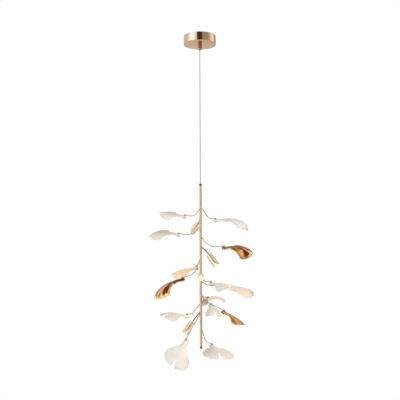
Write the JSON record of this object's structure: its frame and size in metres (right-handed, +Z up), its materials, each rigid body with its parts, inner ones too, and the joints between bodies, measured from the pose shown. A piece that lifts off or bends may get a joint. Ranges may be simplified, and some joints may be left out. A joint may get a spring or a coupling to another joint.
{
  "type": "pendant light",
  "caption": "Pendant light with a round ceiling canopy, a thin cable and a straight metal stem carrying fan-shaped porcelain leaves and small cylindrical lamps.",
  "frame": {"origin": "centre of the ceiling bracket's top face, on the ceiling plane", "axes": "+Z up to the ceiling, the light hangs along -Z, -Y faces the viewer, +X to the viewer's right"},
  "size_m": [0.3789, 0.2154, 1.2178],
  "materials": {
    "champagne_gold": "polished champagne gold plating",
    "stem_gold": "satin champagne gold plating",
    "dark_bronze": "dark bronze",
    "lamp_gold": "polished gold",
    "zinc_steel": "zinc plated",
    "clear_cable": "clear sheath over a steel strand",
    "white_plastic": "moulded",
    "wire_plastic": "insulated wire",
    "arm_grey": "dark satin wire",
    "socket_ceramic": "unglazed",
    "bulb_glass": "clear capsule, lit",
    "porcelain": "thin translucent white glaze",
    "gold_lustre": "mirror gold lustre"
  },
  "bodies": {
    "canopy": {"canopy_cup": "champagne_gold", "ceiling_bracket": "zinc_steel", "mounting_nipple": "zinc_steel", "bracket_locknut": "zinc_steel", "cable_gland": "stem_gold", "led_driver": "white_plastic", "terminal_block": "white_plastic", "supply_leads": "wire_plastic"},
    "ball": {"swivel_ball": "stem_gold"},
    "cable": {"suspension_cable": "clear_cable", "cable_barrel": "zinc_steel", "cable_ferrule": "zinc_steel"},
    "stem": {"stem_rod": "stem_gold", "stem_top_cap": "dark_bronze", "stem_bottom_cap": "dark_bronze", "stem_wiring": "wire_plastic", "leaf_cap_nuts": "dark_bronze", "lamp_arms": "dark_bronze", "lamp_leads": "wire_plastic", "bulb_sockets": "socket_ceramic", "brace_twigs": "arm_grey", "leaf_arm_01": "arm_grey", "leaf_arm_02": "arm_grey", "leaf_arm_03": "arm_grey", "leaf_arm_04": "arm_grey", "leaf_arm_05": "arm_grey", "leaf_arm_06": "arm_grey", "leaf_arm_07": "arm_grey", "leaf_arm_08": "arm_grey", "leaf_arm_09": "arm_grey", "leaf_arm_10": "arm_grey", "leaf_arm_11": "arm_grey", "leaf_arm_12": "arm_grey", "leaf_arm_13": "arm_grey", "leaf_arm_14": "arm_grey", "lamp_cup_1": "lamp_gold", "lamp_cup_2": "lamp_gold", "lamp_cup_3": "lamp_gold", "lamp_cup_4": "lamp_gold", "lamp_cup_5": "lamp_gold"},
    "leaf_01_body": {"leaf_01": "porcelain"},
    "leaf_02_body": {"leaf_02": "porcelain"},
    "leaf_03_body": {"leaf_03": "porcelain"},
    "leaf_04_body": {"leaf_04": "gold_lustre"},
    "leaf_05_body": {"leaf_05": "porcelain"},
    "leaf_06_body": {"leaf_06": "gold_lustre"},
    "leaf_07_body": {"leaf_07": "porcelain"},
    "leaf_08_body": {"leaf_08": "porcelain"},
    "leaf_09_body": {"leaf_09": "porcelain"},
    "leaf_10_body": {"leaf_10": "porcelain"},
    "leaf_11_body": {"leaf_11": "gold_lustre"},
    "leaf_12_body": {"leaf_12": "porcelain"},
    "leaf_13_body": {"leaf_13": "porcelain"},
    "leaf_14_body": {"leaf_14": "porcelain"},
    "bulb_1_body": {"bulb_1": "bulb_glass"},
    "bulb_2_body": {"bulb_2": "bulb_glass"},
    "bulb_3_body": {"bulb_3": "bulb_glass"},
    "bulb_4_body": {"bulb_4": "bulb_glass"},
    "bulb_5_body": {"bulb_5": "bulb_glass"}
  },
  "joints": [
    {"name": "swing_side", "type": "hinge", "parent": "canopy", "child": "ball", "pos_m": [0, 0, -0.0445], "axis": [0, 1, 0], "range_deg": [-20, 20]},
    {"name": "swing_front", "type": "hinge", "parent": "ball", "child": "cable", "pos_m": [0, 0, -0.0445], "axis": [1, 0, 0], "range_deg": [-20, 20]},
    {"name": "stem_turn", "type": "hinge", "parent": "cable", "child": "stem", "pos_m": [0, 0, -0.552], "axis": [0, 0, 1], "range_deg": [-180, 180]},
    {"name": "leaf_01_swivel", "type": "hinge", "parent": "stem", "child": "leaf_01_body", "pos_m": [0.05366, -0.00375, -0.67661], "axis": [-0.0696, 0.0049, 0.9976], "range_deg": [-20, 20]},
    {"name": "leaf_02_swivel", "type": "hinge", "parent": "stem", "child": "leaf_02_body", "pos_m": [-0.05639, -0.00394, -0.6627], "axis": [0.2074, 0.0145, 0.9781], "range_deg": [-20, 20]},
    {"name": "leaf_03_swivel", "type": "hinge", "parent": "stem", "child": "leaf_03_body", "pos_m": [-0.07918, 0.00554, -0.72857], "axis": [0.2582, -0.0181, 0.9659], "range_deg": [-20, 20]},
    {"name": "leaf_04_swivel", "type": "hinge", "parent": "stem", "child": "leaf_04_body", "pos_m": [0.08232, -0.00865, -0.77622], "axis": [-0.1287, -0.2636, 0.956], "range_deg": [-20, 20]},
    {"name": "leaf_05_swivel", "type": "hinge", "parent": "stem", "child": "leaf_05_body", "pos_m": [-0.01532, 0.03142, -0.84757], "axis": [-0.1499, 0.3074, 0.9397], "range_deg": [-20, 20]},
    {"name": "leaf_06_swivel", "type": "hinge", "parent": "stem", "child": "leaf_06_body", "pos_m": [-0.06699, -0.00468, -0.88826], "axis": [-0.2005, -0.1014, 0.9744], "range_deg": [-20, 20]},
    {"name": "leaf_07_swivel", "type": "hinge", "parent": "stem", "child": "leaf_07_body", "pos_m": [0.03647, -0.01328, -0.90308], "axis": [-0.1032, -0.1837, 0.9776], "range_deg": [-20, 20]},
    {"name": "leaf_08_swivel", "type": "hinge", "parent": "stem", "child": "leaf_08_body", "pos_m": [0.08316, 0.02073, -0.92007], "axis": [0.1146, -0.3239, 0.9391], "range_deg": [-20, 20]},
    {"name": "leaf_09_swivel", "type": "hinge", "parent": "stem", "child": "leaf_09_body", "pos_m": [0.02588, 0.01812, -0.95854], "axis": [0.0557, -0.2563, 0.965], "range_deg": [-20, 20]},
    {"name": "leaf_10_swivel", "type": "hinge", "parent": "stem", "child": "leaf_10_body", "pos_m": [0.03728, -0.0261, -0.98168], "axis": [0.1703, -0.1193, 0.9781], "range_deg": [-20, 20]},
    {"name": "leaf_11_swivel", "type": "hinge", "parent": "stem", "child": "leaf_11_body", "pos_m": [0.08457, 0.01491, -1.00658], "axis": [0.3725, 0.207, 0.9047], "range_deg": [-20, 20]},
    {"name": "leaf_12_swivel", "type": "hinge", "parent": "stem", "child": "leaf_12_body", "pos_m": [-0.05021, -0.00528, -1.01755], "axis": [0.2068, 0.0217, 0.9781], "range_deg": [-20, 20]},
    {"name": "leaf_13_swivel", "type": "hinge", "parent": "stem", "child": "leaf_13_body", "pos_m": [-0.05432, 0.00763, -1.10971], "axis": [-0.3466, -0.9311, 0.1136], "range_deg": [-20, 20]},
    {"name": "leaf_14_swivel", "type": "hinge", "parent": "stem", "child": "leaf_14_body", "pos_m": [0.03888, -0.01415, -1.12197], "axis": [0.1632, -0.0594, 0.9848], "range_deg": [-20, 20]},
    {"name": "bulb_1_pull", "type": "slide", "parent": "stem", "child": "bulb_1_body", "axis": [-0.4066, 0.7647, -0.5], "range_m": [0, 0.048]},
    {"name": "bulb_2_pull", "type": "slide", "parent": "stem", "child": "bulb_2_body", "axis": [0.5678, -0.1521, -0.809], "range_m": [0, 0.048]},
    {"name": "bulb_3_pull", "type": "slide", "parent": "stem", "child": "bulb_3_body", "axis": [0, -0.9945, -0.1045], "range_m": [0, 0.048]},
    {"name": "bulb_4_pull", "type": "slide", "parent": "stem", "child": "bulb_4_body", "axis": [0.2419, 0.9703, 0], "range_m": [0, 0.048]},
    {"name": "bulb_5_pull", "type": "slide", "parent": "stem", "child": "bulb_5_body", "axis": [-0.5678, -0.1521, -0.809], "range_m": [0, 0.048]}
  ]
}
